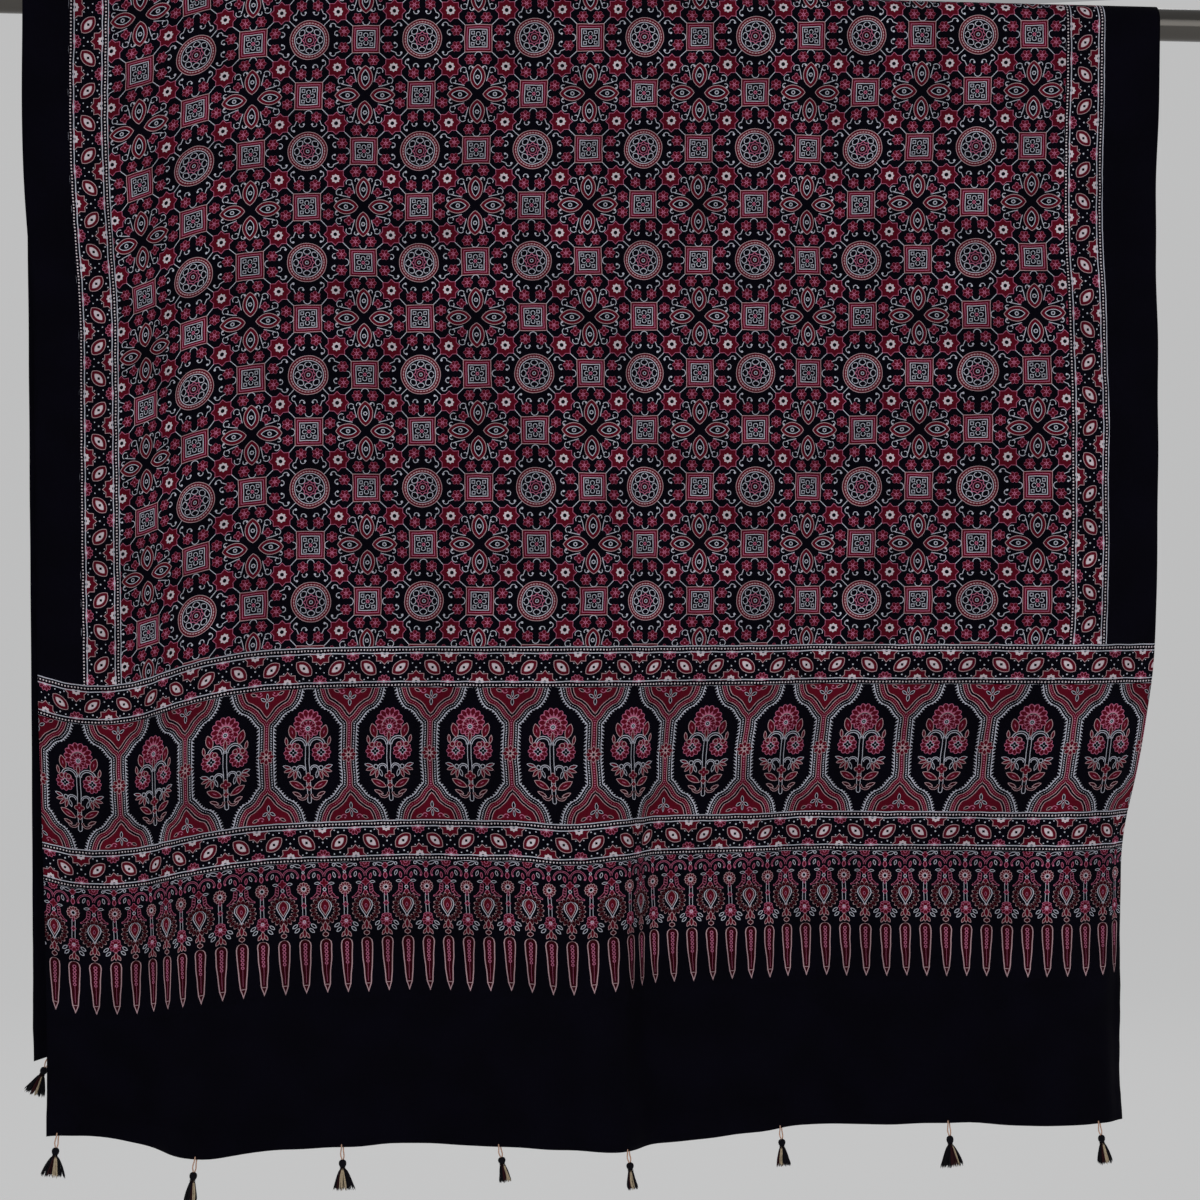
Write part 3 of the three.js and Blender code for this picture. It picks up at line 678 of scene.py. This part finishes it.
# The fringe: two kinds of little tree by turns, each ending in a dagger. Measured from a tree's axis and
# down from the border above.
TREE_PITCH, TREE_START, DAGGER_TOP, DAGGER_LENGTH = 40.0, 10.0 - HALF_WIDTH, 73.2, 52.8
DROP_SHAPE = [(0, 0), (0.05, 0.55), (0.18, 0.9), (0.36, 1), (0.55, 0.76), (0.8, 0.3), (1, 0)]
DAGGER_SHAPE = [(0, 0), (0.015, 0.55), (0.05, 0.88), (0.11, 1), (0.4, 0.86), (0.84, 0.53), (1, 0)]
PLUME_CHART = [
    ("lobes", (0, 1.2, 10, 1.2), [("pink", 0, 3.8), ("red", 0, 3.3)]),
    ("round", (0, 1.2), [("pink", 1.6, 0.3)]),
    ("round", (9.4, 2.9), [("pale", 1.3, 0.33)]),
    ("arc", (7.8, 14.0, 7.5, 0, -1), [("pink", 0, 0.85), ("wine", 0, 0.45)]),
    ("round", (14.6, 14.6), [("pink", 0, 1.0)]),
    leaf(9.6, 12.2, 70, 2.9, 1.4, "pale", "ground", 0.9),
    leaf(5.2, 14.2, 100, 3.2, 1.4, "pink", "red", 0.9),
    leaf(6.8, 20.2, 0, 2.9, 1.3, "pale", "ground", 0.8),
    ("lobes", (0, 20.0, 4, 1.7), [("pink", 0, 2.4), ("red", 0, 1.9)]),
    ("stroke", (5.2, 23.8, 5.8, 29.2), [("pink", 0, 1.8)]),
    ("stroke", (5.8, 29.2, 9.4, 33.0), [("pink", 0, 1.4)]),
    ("stroke", (9.4, 33.0, 12.8, 34.6), [("pink", 0, 0.8)]),
    ("stroke", (5.2, 23.8, 5.8, 29.2), [("wine", 0, 1.4)]),
    ("stroke", (5.8, 29.2, 9.4, 33.0), [("wine", 0, 1.0)]),
    ("stroke", (9.4, 33.0, 12.4, 34.4), [("wine", 0, 0.45)]),
    ("stroke", (3.8, 25.6, 6.8, 24.8), [("pink", 0, 0.25)]),
    ("stroke", (4.0, 28.2, 7.2, 27.2), [("pink", 0, 0.25)]),
    ("stroke", (5.0, 31.0, 7.8, 29.2), [("pink", 0, 0.25)]),
    ("round", (0, 26.0), [("pale", 1.4, 0.33)]),
    leaf(0, 31.4, 90, 3.6, 2.6, "pink", "red", 2.0),
    ("petals", (0, 45.6, 18, 11.2, 3.4), [("tan", -FILL, FILL)]),
    ("petals", (0, 45.6, 18, 11.2, 2.7), [("wine", -FILL, FILL)]),
    ("profile", (0, 35.2, 20.0, 7.6, DROP_SHAPE), [("ground", -FILL, FILL)]),
    ("profile", (0, 35.4, 19.6, 6.8, DROP_SHAPE),
     [("pale", -0.4, 0.45), ("ground", -1.45, 0.6), ("tan", -2.4, 0.4), ("red", -2.8 - FILL, FILL)]),
    leaf(0, 43.0, 90, 2.2, 1.2, "pink", "wine", 0.75),
    leaf(2.9, 63.2, 60, 3.4, 1.6, "tan", "red", 1.1),
    leaf(0, 61.4, 90, 4.8, 2.2, "tan", "red", 1.7),
    ("lobes", (0, 69.2, 3, 0.8), [("tan", 0, 2.2), ("wine", 0, 1.6)])]
STALK_CHART = [
    leaf(5.2, 2.9, -18, 4.4, 1.7, "pale", "ground", 1.2),
    ("lobes", (0, 4.6, 5, 1.0), [("pink", 0, 2.1), ("red", 0, 1.6)]),
    ("round", (0, 9.6), [("pale", 1.1, 0.33)]),
    leaf(0, 14.2, 90, 3.4, 2.0, "pink", "red", 1.4),
    ("stroke", (0, 33, 0, 51), [("pale", 0, 1.8), ("ground", 0, 1.3)]),
    *flower(0, 25.4, 12, "tan", 5.5, 0.9, 4.2, 1.7),
    ("round", (0, 25.4), [("pale", 0, 2.1), ("ground", 0, 1.5)]),
    leaf(0, 31.6, 90, 2.4, 1.4, "pink", "red", 0.9),
    ("lobes", (0, 41.0, 4, 1.0), [("pink", 0, 1.6), ("red", 0, 0.9)]),
    leaf(0, 52.6, 0, 4.8, 1.9, "pink", "red", 1.4),
    *flower(0, 57.8, 9, "pink", 4.6, 1.4, 3.6, 2.0),
    ("round", (0, 56.8), [("pale", 1.2, 0.33)]),
    leaf(9.0, 60.6, 36, 3.3, 1.6, "pale", "ground", 1.0),
    leaf(7.2, 64.8, 40, 3.3, 1.6, "pale", "ground", 1.0),
    leaf(3.0, 69.2, 58, 3.4, 1.6, "tan", "red", 1.1),
    leaf(0, 67.6, 90, 4.2, 2.0, "tan", "red", 1.5)]
DAGGER_CHART = [
    ("profile", (0, DAGGER_TOP, DAGGER_LENGTH, 5.8, DAGGER_SHAPE),
     [("tan", -0.45, 0.5), ("wine", -0.95 - FILL, FILL)])]
DAGGER_CHART += [("round", (0, DAGGER_TOP + 5.4 + 3.6 * k), [("pink", 1.4 - 0.05 * k, 0.36)])
                 for k in range(6)]
DAGGER_CHART += [("stroke", (0, 98.5, 0, 115), [("pink", 0, 0.15)]),
                 ("stroke", (-2, 117.5, 2, 117.5), [("tan", 0, 0.3)])]


def fringe_print(tree, u, v):
    """Folds the fringe at its trees' axes: plumes at one axis, stalks at the next, daggers at both."""
    reach = add_node(tree, "Math", [u, TREE_START], "SUBTRACT")
    plume = add_node(tree, "Math", [reach, TREE_PITCH / 2], "PINGPONG")
    stalk = add_node(tree, "Math", [TREE_PITCH / 2, plume], "SUBTRACT")
    dagger = add_node(tree, "Math", [reach, TREE_PITCH / 4], "PINGPONG")
    level = paint("ground")
    for side, chart in ((plume, PLUME_CHART), (stalk, STALK_CHART), (dagger, DAGGER_CHART)):
        level = print_blocks(tree, side, v, chart, level)
    return level


cottons = [
    printed_cotton("dyed_cotton_plain", lambda tree, u, v: paint("ground")),
    printed_cotton("block_printed_cotton_field", field_print),
    printed_cotton("block_printed_cotton_border", border_print),
    printed_cotton("block_printed_cotton_arches", arch_print),
    printed_cotton("block_printed_cotton_fringe", fringe_print),
    printed_cotton("dyed_cotton_reverse", lambda tree, u, v: paint("ground"))]
cloth = add_piece("ajrakh_cloth", sheet_points.reshape(-1, 3), sheet_quads, cottons, region)

# The print's place on each quad in mm: straight on the field, while strips and borders run along their
# own length.
corner_across = across_grid.ravel()[sheet_quads]
corner_along = along_grid.ravel()[sheet_quads]
corner_end = np.where(mid_along[:, None] < CREST, corner_along, LENGTH - corner_along)
strip_middle = np.where(mid_across < 0, FIELD_LEFT - STRIP / 2, FIELD_RIGHT + STRIP / 2)[:, None]
border_middle = np.where(mid_end < LOWER_BORDER_TOP, (FRINGE_TOP + LOWER_BORDER_TOP) / 2,
                         (ARCHES_TOP + FIELD_START) / 2)[:, None]
in_strip = ((region == BORDER) & (mid_end > FIELD_START))[:, None]
kind = region[:, None]
print_u = np.where(in_strip, corner_along, corner_across)
print_v = np.select(
    [in_strip, kind == BORDER, kind == ARCHES, kind == FRINGE],
    [corner_across - strip_middle, corner_end - border_middle,
     (ARCHES_TOP + LOWER_BORDER_TOP) / 2 - corner_end, FRINGE_TOP - corner_end], corner_along)
for name, first, second in [
        ("print_mm", print_u, print_v),
        ("OFBake", (corner_across + HALF_WIDTH) / (2 * HALF_WIDTH), corner_along / LENGTH)]:
    layer = cloth.data.uv_layers.new(name=name)
    layer.data.foreach_set("uv", np.stack([first, second], -1).astype(np.float32).ravel())
thick = cloth.modifiers.new("thickness", "SOLIDIFY")
thick.thickness = CLOTH_THICKNESS * MM
thick.offset = 0.0
reverse = len(cottons) - 1  # the reverse took only the ground's dye
thick.material_offset = thick.material_offset_rim = reverse
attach(cloth, "root")
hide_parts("cloth")

# The tassels: little bundles of twisted yarn tied at the neck and looped through the hems with a
# flesh-coloured thread. Most threads are black, with a few of cream and of dark red side by side.
THREAD, THREAD_STEPS, THREADS, THREAD_SIDES = 0.62, 7, 78, 4  # radius in mm, and counts
NECK, NECK_RADIUS, FLATNESS = 0.44, 1.4, 0.55  # the neck's place as a share of the length; depth over width
HEAD_FALL = np.array([0.26, 0.27, 0.3, 0.35, 0.4, 0.435, 0.455, 0.475])  # shares of the length
HEAD_RADII = np.array([0.0, 1.5, 2.9, 3.4, 3.1, 2.3, 2.1, 0.0])
HEAD_SIDES, HEAD_RIBS, RIB_HEIGHT, HEAD_FLATNESS = 24, 8, 0.09, 0.85
TIE_AT, TIE_TURNS, TIE_RADII, TIE_FALL, TIE_THREAD = 0.438, 3.4, (2.5, 2.2), 0.14, 0.5
LOOP_TOP, LOOP_END, LOOP_BOW, CORD_SIDES = 4.0, 0.31, 1.1, 6
STITCH = np.array([0, 0, 0.75])  # how far below the hem's edge a tassel is sewn on
BLACK, CREAM, DARK_RED, FLESH = range(4)
YARNS = [("black_cotton_yarn", "#0a0910"), ("cream_cotton_yarn", "#b5a489"),
         ("dark_red_cotton_yarn", "#2e0f13"), ("flesh_cotton_thread", "#c79f88")]
CREAM_HALF, RED_ASIDE, RED_HALF = 20, 36, 16  # degrees round a tassel
# Place along the hem, lean to the right, swing outwards, length, spread, and where the cream threads face.
FRONT_TASSELS = [
    (-549, -7, 4, 40, 13, -68), (-397, -8, 2, 42, 6.5, -50), (-257, 1, 5, 41, 12.5, -92),
    (-103, 9, 3, 34, 6, -50), (23, 7, 3, 37, 5.5, -95), (200, 4, 4, 38, 7.5, -120),
    (369, 4, 5, 44, 12.5, -48), (524, 9, 2, 41, 8, -78)]
BACK_TASSELS = [
    (-545, -22, 6, 42, 11, -80), (-405, 5, 3, 40, 8, 100), (-270, -4, 4, 42, 12, 80),
    (-118, 6, 2, 38, 7, 120), (22, -3, 4, 41, 10, 70), (185, 5, 3, 39, 7, 95),
    (345, -6, 5, 42, 11, 60), (505, 4, 3, 40, 9, 110)]
BACK_SEED = 20  # sets the back tassels' random threads apart from the front ones'


PLIES = 900.0  # repeats a metre


def yarn(name, colour):
    """Twisted cotton yarn: matt, with uneven plies about a millimetre apart that show as fine ridges."""
    material = new_material(name)
    tree = material.node_tree
    place = add_node(tree, "TexCoord")[3]
    plies = add_node(tree, "TexNoise", {"Vector": place, "Scale": PLIES, "Detail": 2.0})[0]
    tone = add_node(tree, "MapRange", [plies, 0.3, 0.7, 0.7, 1.15])
    shade = add_node(tree, "Mix", [1.0, linear(colour), tone], data_type="RGBA", blend_type="MULTIPLY")
    ridges = add_node(tree, "Bump", {"Height": plies, "Strength": 0.4, "Distance": 0.0004})
    shader = add_node(tree, "BsdfPrincipled", {
        "Base Color": shade, "Roughness": 0.85, "Specular IOR Level": 0.1, "Sheen Weight": 0.03,
        "Normal": ridges})
    add_node(tree, "OutputMaterial", [shader])
    return material


yarns = [yarn(name, colour) for name, colour in YARNS]


def tubes(paths, radii, sides):
    """Round tubes along many paths at once: a level ring of the given radius at each point of each path,
    drawn in to a point at both ends."""
    count, steps = paths.shape[:2]
    ring = np.linspace(0, 2 * np.pi, sides, endpoint=False)
    ring = np.stack([np.cos(ring), np.sin(ring), np.zeros(sides)], -1)
    points = paths[:, :, None] + radii[..., None, None] * ring
    quads = grid_quads(steps, sides, True)[None] + (np.arange(count) * steps * sides)[:, None, None]
    return points.reshape(-1, 3), quads.reshape(-1, 4)


def tassel_shape(length, spread, facing, chance):
    """A tassel hanging from the origin: points, quads and each quad's yarn. Threads leave the neck and
    spread with the power 0.8 of their fall to places on a flat oval; the head is a ribbed turned shape,
    the tie a helix and the loop two bows, both as tubes."""
    angle = chance.uniform(-180, 180, THREADS)
    out = np.sqrt(chance.uniform(0.03, 1, THREADS))
    t = np.linspace(0, 1, THREAD_STEPS)[None]
    fan = out[:, None] * (NECK_RADIUS + (spread - NECK_RADIUS) * t ** 0.8)
    wave = 0.5 * np.sin(chance.uniform(0, 6, THREADS)[:, None] + 5 * t) * t
    end = length * chance.uniform(0.93, 1.0, THREADS)[:, None]
    top = NECK * length
    paths = np.stack([
        fan * np.cos(np.radians(angle))[:, None] + wave,
        FLATNESS * fan * np.sin(np.radians(angle))[:, None] + 0.4 * wave,
        -(top + (end - top) * t)], -1)
    radii = THREAD * np.interp(t, [0, 0.08, 0.94, 1], [0, 1, 1, 0]).repeat(THREADS, 0)
    parts = [tubes(paths, radii, THREAD_SIDES)]
    turned = (angle - facing + 180) % 360 - 180
    reds = np.where(np.abs(turned + RED_ASIDE) < RED_HALF, DARK_RED, BLACK)
    picks = [np.where(np.abs(turned) < CREAM_HALF, CREAM, reds).repeat(len(parts[0][1]) // THREADS)]
    around = np.linspace(0, 2 * np.pi, HEAD_SIDES, endpoint=False)
    ribbed = HEAD_RADII[:, None] * (1 + RIB_HEIGHT * np.cos(HEAD_RIBS * around))
    head = np.stack([ribbed * np.cos(around), HEAD_FLATNESS * ribbed * np.sin(around),
                     np.repeat(-HEAD_FALL[:, None] * length, HEAD_SIDES, 1)], -1)
    parts.append((head.reshape(-1, 3), grid_quads(len(HEAD_FALL), HEAD_SIDES, around=True)))
    picks.append(np.full(len(parts[-1][1]), BLACK))
    wind = np.linspace(0, TIE_TURNS * 2 * np.pi, 48)
    tie = np.stack([TIE_RADII[0] * np.cos(wind), TIE_RADII[1] * np.sin(wind),
                    -length * TIE_AT - TIE_FALL * wind], -1)[None]
    loop = np.linspace(0, 1, 18)
    bow = LOOP_BOW * np.sin(np.pi * loop) + 0.35
    fall = LOOP_TOP - loop * (LOOP_TOP + LOOP_END * length)
    loops = np.stack([
        np.stack([s * bow + 0.3 * np.sin(9 * loop + s), np.where(loop < 0.2, s * 1.3, s * 0.5), fall], -1)
        for s in (-1, 1)])
    for path, radius, pick in ((tie, TIE_THREAD, DARK_RED), (loops, THREAD, FLESH)):
        ends = np.ones(path.shape[:2])
        ends[:, [0, -1]] = 0
        parts.append(tubes(path, radius * ends, CORD_SIDES))
        picks.append(np.full(len(parts[-1][1]), pick))
    starts = np.cumsum([0] + [len(points) for points, _ in parts[:-1]])
    quads = np.concatenate([quads + start for (_, quads), start in zip(parts, starts)])
    return np.concatenate([points for points, _ in parts]), quads, np.concatenate(picks)


def hang_tassel(points, at, end_along, side, lean, swing):
    """Turns a tassel to its lean, then its swing, and puts it at its place on the hem's edge."""
    a, b = math.radians(-lean), math.radians(side * swing)
    turn_lean = np.array([[math.cos(a), 0, math.sin(a)], [0, 1, 0], [-math.sin(a), 0, math.cos(a)]])
    turn_swing = np.array([[1, 0, 0], [0, math.cos(b), -math.sin(b)], [0, math.sin(b), math.cos(b)]])
    hem = cloth_points(np.array([float(at)]), np.array([end_along]))[0]
    return points @ (turn_swing @ turn_lean).T + hem - STITCH


for label, rows, end_along, side, seed in (("front", FRONT_TASSELS, 0.0, -1, 0),
                                           ("back", BACK_TASSELS, LENGTH, 1, BACK_SEED)):
    for number, (at, lean, swing, length, spread, facing) in enumerate(rows, 1):
        chance = np.random.default_rng(number + seed)
        points, quads, picks = tassel_shape(length, spread, facing, chance)
        points = hang_tassel(points, at, end_along, side, lean, swing)
        tassel = add_piece(f"yarn_tassel_{label}_{number}", points, quads, yarns, picks)
        close_poles(tassel)
        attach(tassel, "root")
        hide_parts(f"tassel_{label}_{number}")

# The studio: a round cove of pale matt paint, well away from the cloth on all sides, with large soft
# lamps. The paint glows a little, so that the cove is even all round.
COVE_RADIUS, COVE_CORNER, COVE_FLOOR, COVE_HEIGHT = 8500.0, 3000.0, -1900.0, 3600.0
COVE_RINGS, COVE_SIDES = [0, 2000, 4000], 96
CLOTH_MIDDLE = np.array([0, 0, -0.55])
paint_grey = new_material("matt_cove_paint")
tree = paint_grey.node_tree
shader = add_node(tree, "BsdfPrincipled", {
    "Base Color": linear("#8c8c8c"), "Roughness": 0.9, "Specular IOR Level": 0.0,
    "Emission Color": linear("#ffffff"), "Emission Strength": 0.4})
add_node(tree, "OutputMaterial", [shader])
paint_grey.cycles.emission_sampling = "NONE"
bend = np.linspace(0, np.pi / 2, 24)
cove_r = COVE_RADIUS - COVE_CORNER + COVE_CORNER * np.sin(bend)
cove_r = np.concatenate([COVE_RINGS, cove_r, [COVE_RADIUS]])
cove_z = np.concatenate([[0, 0, 0], COVE_CORNER * (1 - np.cos(bend)), [COVE_HEIGHT]]) + COVE_FLOOR
turn = np.linspace(0, 2 * np.pi, COVE_SIDES, endpoint=False)
cove_points = np.stack([cove_r[:, None] * np.cos(turn), cove_r[:, None] * np.sin(turn),
                        np.repeat(cove_z[:, None], COVE_SIDES, 1)], -1)
cove_quads = grid_quads(len(cove_r), COVE_SIDES, around=True)
cove = add_piece("cove", cove_points.reshape(-1, 3), cove_quads, [paint_grey])
# Lamps: place in metres, size and power in watts; all face the cloth's middle.
for name, spot, size, power in [
        ("front_left_lamp", (-2.2, -4.0, 1.6), 3.0, 48), ("front_right_lamp", (2.6, -3.6, 0.4), 3.0, 32),
        ("back_lamp", (0.6, 4.4, 1.8), 3.2, 48), ("top_lamp", (0.0, -0.4, 3.4), 3.0, 10)]:
    lamp = bpy.data.lights.new(name, "AREA")
    lamp.size, lamp.energy = size, power
    holder = bpy.data.objects.new(name, lamp)
    holder.location = spot
    towards = CLOTH_MIDDLE - np.array(spot)
    holder.rotation_euler = (math.atan2(math.hypot(*towards[:2]), -towards[2]), 0,
                             math.atan2(towards[1], towards[0]) - math.pi / 2)
    holder.visible_camera = False
    bpy.context.scene.collection.objects.link(holder)
world = bpy.data.worlds.new("room_light")
world.use_nodes = True
world.node_tree.nodes["Background"].inputs["Color"].default_value = linear("#e6e8ea")
world.node_tree.nodes["Background"].inputs["Strength"].default_value = 0.4
bpy.context.scene.world = world
bpy.context.scene.view_settings.view_transform = "Standard"

# The camera stands 2.6 m away, to the left and below the rod, and looks a little right and down.
IMAGE_SIDE, FOCAL_LENGTH = 1200, 2642.6  # pixels
CAMERA_PLACE, LOOKS_DOWN, LOOKS_RIGHT = (-0.3222, -2.5916, -0.5247), 1.2, 7  # metres and degrees
camera = bpy.data.cameras.new("camera")
camera.sensor_width = 36.0
camera.angle = 2 * math.atan(IMAGE_SIDE / 2 / FOCAL_LENGTH)
camera.clip_end = 60.0
viewer = bpy.data.objects.new("camera", camera)
viewer.location = CAMERA_PLACE
viewer.rotation_euler = (math.radians(90 - LOOKS_DOWN), 0, math.radians(-LOOKS_RIGHT))
bpy.context.scene.collection.objects.link(viewer)
bpy.context.scene.camera = viewer

# Dark cloth in an even cove passes on little light, so a few bounces are enough.
bpy.context.scene.cycles.max_bounces = 3
bpy.context.scene.cycles.diffuse_bounces = 1
bpy.context.scene.cycles.use_light_tree = False
